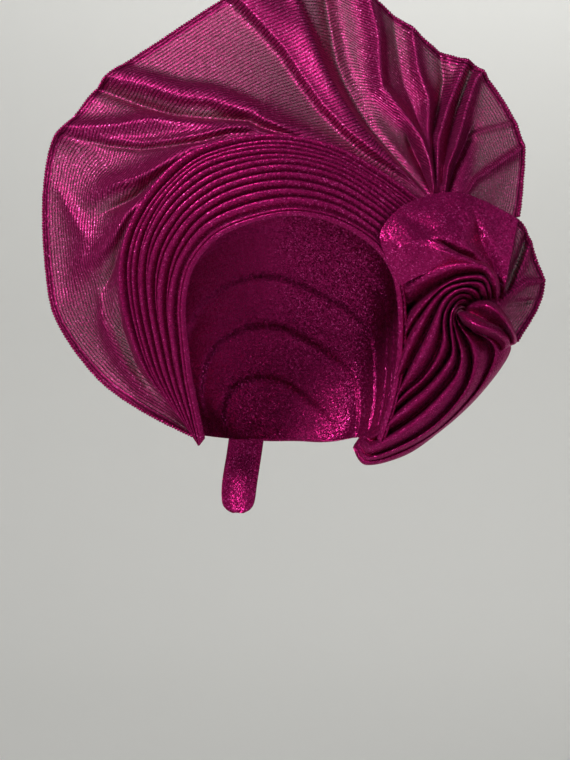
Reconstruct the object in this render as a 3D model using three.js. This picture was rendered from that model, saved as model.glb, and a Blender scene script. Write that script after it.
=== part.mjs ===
// A tied gele: one long sheer cloth pleated round the face, flared into a fan and turned into a rosette.
// Millimetres, +Z up, -Y towards the viewer of the face opening, +X towards the rosette.
// The origin is the middle of the head opening at the level of the nape.
import * as THREE from "three";

// Driving sizes.
const WALL = 2;
const GAP = 0.4;
const BAND_WIDTH = 6;
const BAND_STRIPS = 2;
const BAND_RISE = 1.4;
const PLEAT_COUNT = 11;
const PLEAT_RISE = 0.55;
const ROPE_ROUNDNESS = 0.8;
const CROWN_BULGE = 0.11;
const FAN_BELLY = 6;
const FOLD_START = 0.3;
const FOLD_FADE = 0.25;
const CAP_GAP = 0.6;
const KNOT_DEPTH = -62;
const BUD_LAP = 0.14;
const TAIL_TOP = -1;
const TAIL_LENGTH = 56;
const TAIL_WAVE = 1.5;
const CLOTH_COLOUR = 0xb4216c;

// Points that the wrapped cloth faces: the middle of the head and the middle of the face opening.
const HEAD_MIDDLE = new THREE.Vector3(0, 40, 80);
const FACE_MIDDLE = new THREE.Vector3(0, 0, 75);
const ROSETTE_BACK = new THREE.Vector3(-0.45, 0.89, 0);
// How far the cloth at the face edge leans out from the face and back over the head.
const EDGE_LEAN = { out: 0.75, back: 0.66 };

// Sections of the pleated crown, from the lower-left corner over the forehead to the rosette.
// edge: inner edge at the face opening. ring: outermost pleat, where the fan starts.
const CROWN = [
  { edgeX: -61, edgeY: 6, edgeZ: 0, ringX: -67, ringY: 10, ringZ: 4 },
  { edgeX: -64, edgeY: -2, edgeZ: 17, ringX: -83, ringY: 6, ringZ: 26 },
  { edgeX: -68, edgeY: -14, edgeZ: 41, ringX: -99, ringY: 2, ringZ: 49 },
  { edgeX: -70, edgeY: -26, edgeZ: 64, ringX: -108, ringY: -3, ringZ: 72 },
  { edgeX: -71, edgeY: -37, edgeZ: 86, ringX: -113, ringY: -8, ringZ: 97 },
  { edgeX: -68, edgeY: -47, edgeZ: 105, ringX: -113, ringY: -13, ringZ: 121 },
  { edgeX: -61, edgeY: -56, edgeZ: 119, ringX: -105, ringY: -18, ringZ: 146 },
  { edgeX: -47, edgeY: -66, edgeZ: 132, ringX: -88, ringY: -23, ringZ: 170 },
  { edgeX: -26, edgeY: -74, edgeZ: 140, ringX: -62, ringY: -28, ringZ: 190 },
  { edgeX: -2, edgeY: -78, edgeZ: 144, ringX: -19, ringY: -32, ringZ: 199 },
  { edgeX: 21, edgeY: -76, edgeZ: 141, ringX: 21, ringY: -35, ringZ: 193 },
  { edgeX: 40, edgeY: -69, edgeZ: 133, ringX: 53, ringY: -37, ringZ: 177 },
  { edgeX: 55, edgeY: -60, edgeZ: 122, ringX: 77, ringY: -38, ringZ: 161 },
  { edgeX: 65, edgeY: -50, edgeZ: 106, ringX: 94, ringY: -38, ringZ: 149 },
];

// The band goes on down the right side of the face below the rosette.
const BAND_RIGHT = [
  { edgeX: 69, edgeY: -38, edgeZ: 83 },
  { edgeX: 69, edgeY: -24, edgeZ: 54 },
  { edgeX: 65, edgeY: -10, edgeZ: 27 },
  { edgeX: 58, edgeY: 4, edgeZ: 0 },
];

// The root of the fan goes on behind the rosette.
const FAN_END = [
  { ringX: 108, ringY: -37, ringZ: 147 },
  { ringX: 121, ringY: -33, ringZ: 141 },
];

// Ribs of the fan. at: where the rib leaves the crown, in sections. hem: its free end.
const FAN = [
  { at: 0, hemX: -69, hemY: 13, hemZ: 2 },
  { at: 1.3, hemX: -106, hemY: 16, hemZ: 21 },
  { at: 2.5, hemX: -137, hemY: 22, hemZ: 44 },
  { at: 3.2, hemX: -164, hemY: 26, hemZ: 82 },
  { at: 4.2, hemX: -172, hemY: 28, hemZ: 117 },
  { at: 5.2, hemX: -174, hemY: 28, hemZ: 166 },
  { at: 6.1, hemX: -168, hemY: 26, hemZ: 204 },
  { at: 6.8, hemX: -154, hemY: 24, hemZ: 220 },
  { at: 7.6, hemX: -130, hemY: 22, hemZ: 249 },
  { at: 8.6, hemX: -92, hemY: 20, hemZ: 275 },
  { at: 9.75, hemX: -49, hemY: 16, hemZ: 302 },
  { at: 11.2, hemX: -26, hemY: 14, hemZ: 312 },
  { at: 12.3, hemX: 12, hemY: 12, hemZ: 321 },
  { at: 13, hemX: 50, hemY: 10, hemZ: 304 },
  { at: 13.35, hemX: 73, hemY: 8, hemZ: 287 },
  { at: 13.65, hemX: 100, hemY: 6, hemZ: 265 },
  { at: 13.95, hemX: 124, hemY: 4, hemZ: 254 },
  { at: 14.2, hemX: 144, hemY: 0, hemZ: 227 },
  { at: 14.45, hemX: 155, hemY: -4, hemZ: 199 },
  { at: 14.7, hemX: 154, hemY: -8, hemZ: 172 },
  { at: 15, hemX: 151, hemY: -12, hemZ: 150 },
];

// Folds of the fan, placed in ribs at the root and at the hem. rise is forward, negative for a valley.
// bend: how soon the fold swings to its hem place. until: where along the rib it dies out.
const FAN_FOLDS = [
  { root: 6.2, hem: 3.3, bend: 0.5, rise: 6, half: 0.45, until: 0.65 },
  { root: 9.5, hem: 3.7, bend: 0.5, rise: 6, half: 0.45, until: 0.6 },
  { root: 8.9, hem: 6.5, bend: 0.6, rise: 4, half: 0.45, until: 1.2 },
  { root: 10.1, hem: 6.9, bend: 0.6, rise: 6, half: 0.45, until: 1.2 },
  { root: 10.4, hem: 7.6, bend: 0.5, rise: -8, half: 0.45, until: 1.2 },
  { root: 10.9, hem: 8.2, bend: 0.5, rise: 7, half: 0.45, until: 1.2 },
  { root: 13.2, hem: 10.3, bend: 0.4, rise: 6, half: 0.45, until: 1.2 },
  { root: 13.3, hem: 11.9, bend: 0.2, rise: -8, half: 0.45, until: 1.2 },
  { root: 15.6, hem: 13, bend: 0.3, rise: 9, half: 0.45, until: 1.2 },
  { root: 15.2, hem: 13.7, bend: 0.4, rise: -6, half: 0.45, until: 1.2 },
  { root: 16, hem: 14.4, bend: 0.5, rise: 7, half: 0.45, until: 1.2 },
  { root: 16.3, hem: 15, bend: 0.5, rise: -7, half: 0.45, until: 1.2 },
  { root: 17, hem: 16, bend: 0.6, rise: 8, half: 0.45, until: 1.2 },
  { root: 17.6, hem: 16.8, bend: 0.6, rise: -5, half: 0.45, until: 1 },
  { root: 19, hem: 18, bend: 0.8, rise: 4, half: 0.45, until: 1.2 },
];

// Fold lines of the rosette. out: outer end, leaving at the angle aim for the length reach.
// end: inner end at the knot, met at the angle heading after the length sweep. fore: depth between.
// crease: how far the cloth is tucked back along the line.
const SHELL = [
  { outX: 69, outY: -53.2, outZ: 101, aim: 35, reach: 20,
    endX: 126, endZ: 98, heading: -34, sweep: 32, fore: -67, crease: 0 },
  { outX: 58, outY: -62, outZ: 120, aim: 5, reach: 26,
    endX: 127, endZ: 99, heading: -40, sweep: 34, fore: -76, crease: 0 },
  { outX: 55, outY: -64.2, outZ: 135, aim: -12, reach: 28,
    endX: 128, endZ: 100, heading: -46, sweep: 30, fore: -78, crease: 2 },
  { outX: 68, outY: -58, outZ: 151, aim: -28, reach: 26,
    endX: 129, endZ: 101, heading: -52, sweep: 26, fore: -77, crease: 0 },
  { outX: 88, outY: -51, outZ: 160, aim: -45, reach: 22,
    endX: 130, endZ: 102, heading: -60, sweep: 24, fore: -74, crease: 0 },
  { outX: 104, outY: -49, outZ: 162, aim: -58, reach: 20,
    endX: 131, endZ: 103, heading: -66, sweep: 22, fore: -70, crease: 0 },
  { outX: 116, outY: -45, outZ: 160, aim: -66, reach: 20,
    endX: 132, endZ: 104, heading: -72, sweep: 20, fore: -64, crease: 5 },
  { outX: 131, outY: -41, outZ: 154, aim: -80, reach: 18,
    endX: 134, endZ: 105, heading: -80, sweep: 18, fore: -64, crease: 0 },
  { outX: 147, outY: -36, outZ: 146, aim: -105, reach: 16,
    endX: 136, endZ: 105, heading: -95, sweep: 16, fore: -58, crease: 0 },
];
const DRAPE = [
  { outX: 72, outY: -41, outZ: 99, aim: 40, reach: 22,
    endX: 133, endZ: 95, heading: -50, sweep: 34, fore: -58, crease: 2 },
  { outX: 74, outY: -34, outZ: 84, aim: 48, reach: 26,
    endX: 130, endZ: 93, heading: -55, sweep: 28, fore: -58, crease: 3 },
  { outX: 75, outY: -23, outZ: 60, aim: 58, reach: 32,
    endX: 127, endZ: 92, heading: -50, sweep: 24, fore: -58, crease: 4 },
  { outX: 72, outY: -13, outZ: 39, aim: 55, reach: 40,
    endX: 123, endZ: 90, heading: -35, sweep: 22, fore: -58, crease: 5 },
  { outX: 69, outY: -5, outZ: 22, aim: 52, reach: 45,
    endX: 118, endZ: 88, heading: 10, sweep: 22, fore: -58, crease: 5 },
  { outX: 66, outY: 1, outZ: 11, aim: 45, reach: 48,
    endX: 114, endZ: 86, heading: 45, sweep: 26, fore: -56, crease: 5 },
  { outX: 63, outY: 6, outZ: 1, aim: 30, reach: 42,
    endX: 111, endZ: 83, heading: 80, sweep: 40, fore: -50, crease: 6 },
  { outX: 60, outY: 9, outZ: -6, aim: 18, reach: 44,
    endX: 117, endZ: 82, heading: 95, sweep: 42, fore: -40, crease: 6 },
  { outX: 58, outY: 12, outZ: -11, aim: 10, reach: 46,
    endX: 129, endZ: 80, heading: 84, sweep: 40, fore: -26, crease: 4 },
  { outX: 56, outY: 15, outZ: -16, aim: 6, reach: 47,
    endX: 143, endZ: 68, heading: 58, sweep: 40, fore: -8, crease: 2 },
];
const FLARE = [
  { outX: 147, outY: -35.6, outZ: 145, aim: -105, reach: 14,
    endX: 132, endZ: 99, heading: -100, sweep: 14, fore: -48, crease: 0 },
  { outX: 155, outY: -30, outZ: 138, aim: -115, reach: 14,
    endX: 133, endZ: 96, heading: -115, sweep: 14, fore: -44, crease: 3 },
  { outX: 161, outY: -24, outZ: 119, aim: -150, reach: 14,
    endX: 133, endZ: 93, heading: -140, sweep: 14, fore: -44, crease: 0 },
  { outX: 166, outY: -22, outZ: 105, aim: 190, reach: 14,
    endX: 133, endZ: 90, heading: 195, sweep: 14, fore: -46, crease: 0 },
  { outX: 161, outY: -24, outZ: 88, aim: 178, reach: 14,
    endX: 132, endZ: 86, heading: 178, sweep: 14, fore: -44, crease: 2 },
  { outX: 147, outY: -30, outZ: 66, aim: 110, reach: 10,
    endX: 131, endZ: 81, heading: 150, sweep: 10, fore: -40, crease: 0 },
];

// Sections along the rolled bud at the centre of the swirl.
const BUD = [
  { x: 108, y: -60.2, z: 88, tall: 2.5, deep: 1.5 },
  { x: 114, y: -63.2, z: 88, tall: 6, deep: 4 },
  { x: 121, y: -65.2, z: 86, tall: 8.5, deep: 5 },
  { x: 129, y: -64.6, z: 84, tall: 8.5, deep: 5 },
  { x: 136, y: -60, z: 79, tall: 6.5, deep: 4.5 },
  { x: 141, y: -54, z: 73, tall: 4, deep: 3 },
  { x: 144, y: -48, z: 68, tall: 1.5, deep: 1 },
];

// Sections of the cloth over the back of the head. at: section of the crown and band that it starts from.
const CAP = [
  { at: 0, sideX: -74, sideY: 32, sideZ: 2,
    backX: -70, backY: 58, backZ: 0, napeX: -46, napeY: 76, napeZ: -2 },
  { at: 4, sideX: -110, sideY: 34, sideZ: 95,
    backX: -88, backY: 100, backZ: 42, napeX: -34, napeY: 83, napeZ: -4 },
  { at: 7, sideX: -84, sideY: 36, sideZ: 176,
    backX: -66, backY: 124, backZ: 98, napeX: -18, napeY: 88, napeZ: -5 },
  { at: 9.3, sideX: -12, sideY: 40, sideZ: 208,
    backX: -8, backY: 138, backZ: 132, napeX: 0, napeY: 90, napeZ: -5 },
  { at: 12, sideX: 74, sideY: 34, sideZ: 168,
    backX: 62, backY: 124, backZ: 98, napeX: 18, napeY: 88, napeZ: -5 },
  { at: 14.5, sideX: 79, sideY: 24, sideZ: 80,
    backX: 76, backY: 98, backZ: 42, napeX: 34, napeY: 83, napeZ: -4 },
  { at: 17, sideX: 70, sideY: 30, sideZ: 0,
    backX: 66, backY: 58, backZ: 0, napeX: 46, napeY: 76, napeZ: -2 },
];

// Sections of the hanging tail. down: share of its length below the nape.
const TAIL = [
  { down: 0, x: -34, y: 89.2, half: 13 },
  { down: 0.25, x: -36, y: 89.4, half: 13 },
  { down: 0.6, x: -39, y: 86, half: 13 },
  { down: 0.85, x: -40, y: 84, half: 12 },
  { down: 0.95, x: -40, y: 83, half: 9 },
  { down: 1, x: -40, y: 82.5, half: 4 },
];

function mix(a, b, t) {
  return a + (b - a) * t;
}

function clamp(value) {
  return Math.min(1, Math.max(0, value));
}

// The value of one column between rows, eased across the rows on both sides.
function column(rows, name, place) {
  const i = Math.min(rows.length - 2, Math.max(0, Math.floor(place)));
  const t = place - i;
  const before = rows[Math.max(0, i - 1)][name];
  const here = rows[i][name];
  const next = rows[i + 1][name];
  const after = rows[Math.min(rows.length - 1, i + 2)][name];
  const slopeHere = (next - before) / 2;
  const slopeNext = (after - here) / 2;
  const t2 = t * t;
  const t3 = t2 * t;
  return (2 * t3 - 3 * t2 + 1) * here + (t3 - 2 * t2 + t) * slopeHere
    + (3 * t2 - 2 * t3) * next + (t3 - t2) * slopeNext;
}

function point(rows, name, place) {
  return new THREE.Vector3(
    column(rows, name + "X", place),
    column(rows, name + "Y", place),
    column(rows, name + "Z", place),
  );
}

// Sheet of cloth with a front face, a back face and a rim all round.
function thickSheet(front, back, across, along) {
  const positions = [];
  const index = [];
  for (const face of [front, back]) {
    for (let i = 0; i <= across; i += 1) {
      for (let j = 0; j <= along; j += 1) {
        positions.push(...face(i / across, j / along).toArray());
      }
    }
  }
  const layer = (across + 1) * (along + 1);
  const at = (i, j, side) => side * layer + i * (along + 1) + j;
  const quad = (a, b, c, d) => index.push(a, b, c, a, c, d);
  for (let i = 0; i < across; i += 1) {
    for (let j = 0; j < along; j += 1) {
      quad(at(i, j, 0), at(i + 1, j, 0), at(i + 1, j + 1, 0), at(i, j + 1, 0));
      quad(at(i, j, 1), at(i, j + 1, 1), at(i + 1, j + 1, 1), at(i + 1, j, 1));
    }
  }
  for (let i = 0; i < across; i += 1) {
    quad(at(i, 0, 0), at(i, 0, 1), at(i + 1, 0, 1), at(i + 1, 0, 0));
    quad(at(i, along, 0), at(i + 1, along, 0), at(i + 1, along, 1), at(i, along, 1));
  }
  for (let j = 0; j < along; j += 1) {
    quad(at(0, j, 0), at(0, j + 1, 0), at(0, j + 1, 1), at(0, j, 1));
    quad(at(across, j, 0), at(across, j, 1), at(across, j + 1, 1), at(across, j + 1, 0));
  }
  return outward(positions, index);
}

// Closed geometry turned so that its faces look outwards.
function outward(positions, index) {
  const corner = (k) => new THREE.Vector3().fromArray(positions, 3 * index[k]);
  let volume = 0;
  for (let k = 0; k < index.length; k += 3) {
    volume += corner(k).dot(corner(k + 1).cross(corner(k + 2)));
  }
  if (volume < 0) {
    index.reverse();
  }
  const geometry = new THREE.BufferGeometry();
  geometry.setAttribute("position", new THREE.Float32BufferAttribute(positions, 3));
  geometry.setIndex(index);
  geometry.computeVertexNormals();
  return geometry;
}

const BAND = CROWN.concat(BAND_RIGHT);
const ROOT = CROWN.concat(FAN_END);

// Direction from the face edge out and back over the head.
function awayFromFace(p) {
  const radial = new THREE.Vector3(p.x - FACE_MIDDLE.x, 0, p.z - FACE_MIDDLE.z).normalize();
  return radial.multiplyScalar(EDGE_LEAN.out).add(new THREE.Vector3(0, EDGE_LEAN.back, 0)).normalize();
}

function inwards(p) {
  return HEAD_MIDDLE.clone().sub(p).normalize();
}

// Rope-like profile: zero in each crevice, one on each ridge.
function ropes(t, count) {
  return Math.pow(Math.abs(Math.sin(Math.PI * t * count)), ROPE_ROUNDNESS);
}

function bandPoint(u, v) {
  const edge = point(BAND, "edge", u * (BAND.length - 1));
  const p = edge.clone().addScaledVector(awayFromFace(edge), BAND_WIDTH * v);
  const rise = ropes(v, BAND_STRIPS) * BAND_RISE;
  return p.addScaledVector(inwards(edge), -rise);
}

function bandBack(u, v) {
  const edge = point(BAND, "edge", u * (BAND.length - 1));
  return bandPoint(u, v).addScaledVector(inwards(edge), WALL);
}

// Point of the crown: u round the face, v from the band to the fan.
function crownPoint(u, v) {
  const place = u * (CROWN.length - 1);
  const edge = point(CROWN, "edge", place);
  const ring = point(CROWN, "ring", place);
  const start = edge.addScaledVector(awayFromFace(edge), BAND_WIDTH + 3 * GAP);
  const width = start.distanceTo(ring);
  const p = start.clone().lerp(ring, v);
  const bulge = Math.sin(Math.PI * v) * CROWN_BULGE * width;
  const rise = ropes(v, PLEAT_COUNT) * PLEAT_RISE * width / PLEAT_COUNT;
  return p.addScaledVector(inwards(ring), -bulge - rise);
}

function crownBack(u, v) {
  const ring = point(CROWN, "ring", u * (CROWN.length - 1));
  return crownPoint(u, v).addScaledVector(inwards(ring), WALL);
}

// Height of all fan folds at rib g, t of the way from the root to the hem.
function fanFold(g, t) {
  let sum = 0;
  for (const fold of FAN_FOLDS) {
    const line = fold.root + (fold.hem - fold.root) * Math.pow(t, fold.bend);
    const near = (g - line) / fold.half;
    const fade = fold.until > 1.1 ? 1 : clamp((fold.until - t) / FOLD_FADE);
    sum += fold.rise * fade * Math.exp(-near * near);
  }
  return sum * clamp(t / FOLD_START);
}

function fanMiddle(u, v) {
  const g = u * (FAN.length - 1);
  const ring = point(ROOT, "ring", column(FAN, "at", g));
  const hem = point(FAN, "hem", g);
  const reach = hem.clone().sub(ring);
  const root = ring.clone().addScaledVector(reach.clone().normalize(), 2 * GAP);
  const p = root.clone().lerp(hem, v);
  p.y += FAN_BELLY * Math.sin(Math.PI * v) - fanFold(g, v);
  return p;
}

function fanBack(u, v) {
  const g = u * (FAN.length - 1);
  const ring = point(ROOT, "ring", column(FAN, "at", g));
  const back = inwards(ring).lerp(new THREE.Vector3(0, 1, 0), clamp(0.3 + v)).normalize();
  return fanMiddle(u, v).addScaledVector(back, WALL);
}

// Line where the back of the head tie meets the pleats and, further round, the band.
function capFront(place) {
  const last = CROWN.length - 1;
  if (place <= last) {
    const ring = point(CROWN, "ring", place);
    return ring.addScaledVector(inwards(ring), WALL + CAP_GAP);
  }
  const ring = point(CROWN, "ring", last);
  ring.addScaledVector(inwards(ring), WALL + CAP_GAP);
  const edge = point(BAND, "edge", place);
  edge.addScaledVector(awayFromFace(edge), BAND_WIDTH + GAP);
  edge.addScaledVector(inwards(edge), 2 * WALL);
  return ring.lerp(edge, clamp(place - last));
}

function capPoint(u, v) {
  const place = u * (BAND.length - 1);
  let row = 0;
  while (row < CAP.length - 2 && CAP[row + 1].at < place) {
    row += 1;
  }
  const s = row + (place - CAP[row].at) / (CAP[row + 1].at - CAP[row].at);
  const front = capFront(place);
  const line = new THREE.CubicBezierCurve3(
    front,
    point(CAP, "side", s),
    point(CAP, "back", s),
    point(CAP, "nape", s),
  );
  return line.getPoint(v);
}

function capBack(u, v) {
  const p = capPoint(u, v);
  return p.addScaledVector(inwards(p), WALL);
}

// One line of the rosette, from its outer end to the knot.
function foldLine(row) {
  const aim = THREE.MathUtils.degToRad(row.aim);
  const heading = THREE.MathUtils.degToRad(row.heading);
  const start = new THREE.Vector3(row.outX, row.outY, row.outZ);
  const leave = new THREE.Vector3(
    row.outX + row.reach * Math.cos(aim),
    mix(row.outY, row.fore, 0.6),
    row.outZ + row.reach * Math.sin(aim),
  );
  const arrive = new THREE.Vector3(
    row.endX - row.sweep * Math.cos(heading),
    row.fore,
    row.endZ - row.sweep * Math.sin(heading),
  );
  const end = new THREE.Vector3(row.endX, mix(row.fore, KNOT_DEPTH, 0.5), row.endZ);
  return new THREE.CubicBezierCurve3(start, leave, arrive, end);
}

// Front face of a rosette piece: u across its fold lines, v along them.
function rosettePoint(rows, lines) {
  return (u, v) => {
    const place = u * (rows.length - 1);
    const spots = lines.map((line) => {
      const p = line.getPoint(v);
      return { x: p.x, y: p.y, z: p.z };
    });
    const p = new THREE.Vector3(
      column(spots, "x", place),
      column(spots, "y", place),
      column(spots, "z", place),
    );
    let tuck = 0;
    rows.forEach((row, i) => {
      tuck += row.crease * Math.pow(clamp(1 - Math.abs(place - i) / 0.6), 1.5);
    });
    const share = Math.sin(Math.PI * mix(0.12, 0.88, v));
    return p.addScaledVector(ROSETTE_BACK, tuck * share);
  };
}

function rosettePiece(rows, across, along) {
  const lines = rows.map(foldLine);
  const front = rosettePoint(rows, lines);
  const back = (u, v) => front(u, v).addScaledVector(ROSETTE_BACK, WALL);
  return thickSheet(front, back, across, along);
}

// Rolled cloth: each section is a turn whose free edge stands a little proud.
function budGeometry(around, along) {
  const positions = [];
  const index = [];
  for (let i = 0; i <= along; i += 1) {
    const place = (i / along) * (BUD.length - 1);
    for (let j = 0; j < around; j += 1) {
      const angle = (2 * Math.PI * j) / around;
      const roll = 1 - BUD_LAP + BUD_LAP * (j / around);
      positions.push(
        column(BUD, "x", place) + 0.3 * roll * column(BUD, "tall", place) * Math.cos(angle),
        column(BUD, "y", place) - roll * column(BUD, "deep", place) * Math.sin(angle),
        column(BUD, "z", place) + roll * column(BUD, "tall", place) * Math.cos(angle),
      );
    }
  }
  const first = positions.length / 3;
  positions.push(BUD[0].x - 1, BUD[0].y, BUD[0].z);
  const tip = BUD[BUD.length - 1];
  positions.push(tip.x + 1, tip.y, tip.z - 1);
  for (let j = 0; j < around; j += 1) {
    const k = (j + 1) % around;
    for (let i = 0; i < along; i += 1) {
      const a = i * around + j;
      const b = i * around + k;
      index.push(a, b, b + around, a, b + around, a + around);
    }
    index.push(first, k, j);
    index.push(first + 1, along * around + j, along * around + k);
  }
  return outward(positions, index);
}

function tailPoint(u, v) {
  const place = v * (TAIL.length - 1);
  const wave = TAIL_WAVE * Math.sin(2 * Math.PI * u);
  return new THREE.Vector3(
    column(TAIL, "x", place) + mix(-1, 1, u) * column(TAIL, "half", place),
    column(TAIL, "y", place) + wave * clamp(v * 3),
    TAIL_TOP - TAIL_LENGTH * column(TAIL, "down", place),
  );
}

function tailBack(u, v) {
  const p = tailPoint(u, v);
  p.y += WALL;
  return p;
}

const model = new THREE.Group();
model.name = "tied_gele";

function add(name, geometry) {
  const material = new THREE.MeshStandardMaterial({ color: CLOTH_COLOUR, roughness: 0.6 });
  const mesh = new THREE.Mesh(geometry, material);
  mesh.name = name;
  model.add(mesh);
}

add("face_band", thickSheet(bandPoint, bandBack, 38, 4));
add("crown_pleats", thickSheet(crownPoint, crownBack, 30, 2 * PLEAT_COUNT));
add("fan", thickSheet(fanMiddle, fanBack, 70, 9));
add("back_cap", thickSheet(capPoint, capBack, 25, 10));
add("rosette_shell", rosettePiece(SHELL, 16, 8));
add("rosette_flare", rosettePiece(FLARE, 10, 6));
add("side_drape", rosettePiece(DRAPE, 18, 12));
add("knot_bud", budGeometry(12, 10));
add("tie_tail", thickSheet(tailPoint, tailBack, 4, 10));

export default model;
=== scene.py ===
import math

import bpy
import numpy as np
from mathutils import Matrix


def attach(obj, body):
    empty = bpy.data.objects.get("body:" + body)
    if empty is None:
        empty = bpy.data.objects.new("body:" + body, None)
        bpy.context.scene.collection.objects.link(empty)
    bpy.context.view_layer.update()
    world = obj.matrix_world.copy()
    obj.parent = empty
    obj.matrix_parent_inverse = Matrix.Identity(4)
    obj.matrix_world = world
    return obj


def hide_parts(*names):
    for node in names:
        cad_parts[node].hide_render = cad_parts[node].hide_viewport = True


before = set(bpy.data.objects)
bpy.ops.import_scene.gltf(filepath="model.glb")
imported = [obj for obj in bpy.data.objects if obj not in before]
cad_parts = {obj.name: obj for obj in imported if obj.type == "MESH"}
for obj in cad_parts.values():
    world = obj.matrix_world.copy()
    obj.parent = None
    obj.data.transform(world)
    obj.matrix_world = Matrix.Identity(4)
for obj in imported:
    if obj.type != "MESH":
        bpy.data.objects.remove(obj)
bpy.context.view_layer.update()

MM = 0.001

# Sizes of the cloth, in millimetres.
CLOTH = 0.4
BAND_WIDTH = 6.0
BAND_RISE = 2.0
CROWN_START = BAND_WIDTH + 1.2
FAN_START = 0.8
BROAD_FOLD = 9.0
FAN_BELLY = 6.0
FAN_WAVE = 1.0
ROPE_RISE = 6.5
KNOT_DEPTH = -62.0
KNOT_TUCK = 16.0
BACK_FOLD = 1.8
BACK_START = BAND_WIDTH + 0.4
BACK_UNDER_PLEATS = 2.6
BACK_UNDER_BAND = 4.0
BACK_CLEAR = 0.4
TAIL_TOP = -1.0
TAIL_LENGTH = 56.0
TAIL_CLEAR = 1.0
TAIL_WAVE = 1.5
HEM_EDGE = (3.4, 4.6)
RIB_PITCH = 2.6
BEAD_PITCH = 2.0
BEAD_RADIUS = 1.15

# Counts and proportions of the folds.
BAND_STRIPS = 2
PLEATS = 11
OUTER_PLEAT = 1.7
TUCKED_PLEATS = (1, 3, 5, 7)
PLEAT_RISE = 0.75
PLEAT_WANDER = 0.10 / PLEATS
CROWN_BULGE = 0.11
EDGE_OUT = 0.75
EDGE_BACK = 0.66
FOLD_LEAN = 0.75
LAST_ROPE = 0.4
BACK_LAPS = 7.5
LAP_TURN = 0.88
BEAD_STEPS = 6
BEAD_SIDES = 7
PLEAT_STEPS = 16
ROPE_STEPS = 18
HEM_POINTS = 1200
# How fast a pressed fold falls off to its sides, as a power, where it is broad and where it is narrow.
BROAD_FALL = 4
NARROW_FALL = 1.6
# Gaps beside a rolled fold: share of its width that a gap takes, and depth against the height of the fold.
BAND_GAPS = (0.14, 0.7)
PLEAT_GAPS = (0.18, 1.1)
NAPE_SPREAD = (0.12, 0.8)
NAPE_GAPS = (0.25, 2.2)

# Share of the light that passes both faces of one layer, and the least share of facing that counts.
SEE_THROUGH = 0.07
LEAST_FACING = 0.25

# Cloth with metallic thread: its shader, then the tones of its specks from dark to glint, the palest specks
# a glint of the thread painted into the colour.
CLOTH_SHADER = {
    "Metallic": 0.7,
    "Specular IOR Level": 0.2,
    "Specular Tint": (1.0, 0.35, 0.65, 1),
    "Sheen Weight": 0.02,
    "Sheen Roughness": 0.4,
    "Sheen Tint": (1.0, 0.35, 0.7, 1),
}
SPECK_TONES_AND_PAINTED_GLINT = (
    (0.0, (0.19, 0.005, 0.062, 1)),
    (0.6, (0.27, 0.010, 0.094, 1)),
    (0.93, (0.38, 0.022, 0.15, 1)),
    # The palest tone is a painted glint of the metallic thread.
    (1.0, (0.8, 0.13, 0.42, 1)),
)
# Share of a single layer's red, green and blue that is left where the cloth lies folded.
DEEPER = (0.92, 0.55, 0.85, 1.0)
# Specks in a metre, dashes in a metre along and across the ribs, and period of the wave at a scale of one.
SPECKLE_SCALE = 1500
DASH_SCALE = (150, 700, 1)
WAVE_PERIOD = 0.31416
# Tilt of the specks, roughness from least to most, strength of the bump and of the thread pattern.
SHEER_TILT = (0.25, 0.25, 0.25)
FOLDED_TILT = (0.5, 0.5, 0.5)
SHEER_ROUGHNESS = (0.32, 0.52)
FOLDED_ROUGHNESS = (0.2, 0.42)
SHEER_BUMP = 0.4
FOLDED_BUMP = 0.25
SHEER_THREADS = 0.72
FOLDED_THREADS = 0.06
BUMP_HEIGHT = 0.0004
# Tint of a turned hem.
HEM_TINT = (0.5, 0.4, 0.48, 1)

# Camera of the photograph: place and sensor in millimetres, focal length and picture height in pixels.
VIEW = np.array([-5.6, -1000.0, 40.7])
FOCAL = 1474
PICTURE_HEIGHT = 760
SENSOR = 36

# Round stage, in metres: floor level, radius, curve into the wall and height of the wall.
FLOOR_LEVEL = -0.6
FLOOR_RADIUS = 2.2
FLOOR_CURVE = 0.8
WALL_HEIGHT = 2.4
# Shares of the stage's grid, from the middle outwards, where its curve and its wall start.
CURVE_START = 0.6
WALL_START = 0.8

# Middle of the hollow and of the face opening.
HEAD_MIDDLE = np.array([0.0, 40.0, 80.0])
FACE_MIDDLE = np.array([0.0, 0.0, 75.0])

# Sections of the pleated crown: x y z of its inner edge, then x y z of the outermost pleat.
CROWN = np.array([
    (-61, 6, 0, -67, 10, 4),
    (-64, -2, 17, -83, 6, 26),
    (-68, -14, 41, -99, 2, 49),
    (-70, -26, 64, -108, -3, 72),
    (-71, -37, 86, -113, -8, 97),
    (-68, -47, 105, -113, -13, 121),
    (-61, -56, 119, -105, -18, 146),
    (-47, -66, 132, -88, -23, 170),
    (-26, -74, 140, -62, -28, 190),
    (-2, -78, 144, -19, -32, 199),
    (21, -76, 141, 21, -35, 193),
    (40, -69, 133, 53, -37, 177),
    (55, -60, 122, 77, -38, 161),
    (65, -50, 106, 94, -38, 149),
], float)
# Edge of the band and root of the fan, carried on past the last section of the crown.
BAND_RIGHT = np.array([(69, -38, 83), (69, -24, 54), (65, -10, 27), (58, 4, 0)], float)
FAN_END = np.array([(108, -37, 147), (121, -33, 141)], float)
BAND = np.vstack([CROWN[:, :3], BAND_RIGHT])
ROOT = np.vstack([CROWN[:, 3:], FAN_END])

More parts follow.
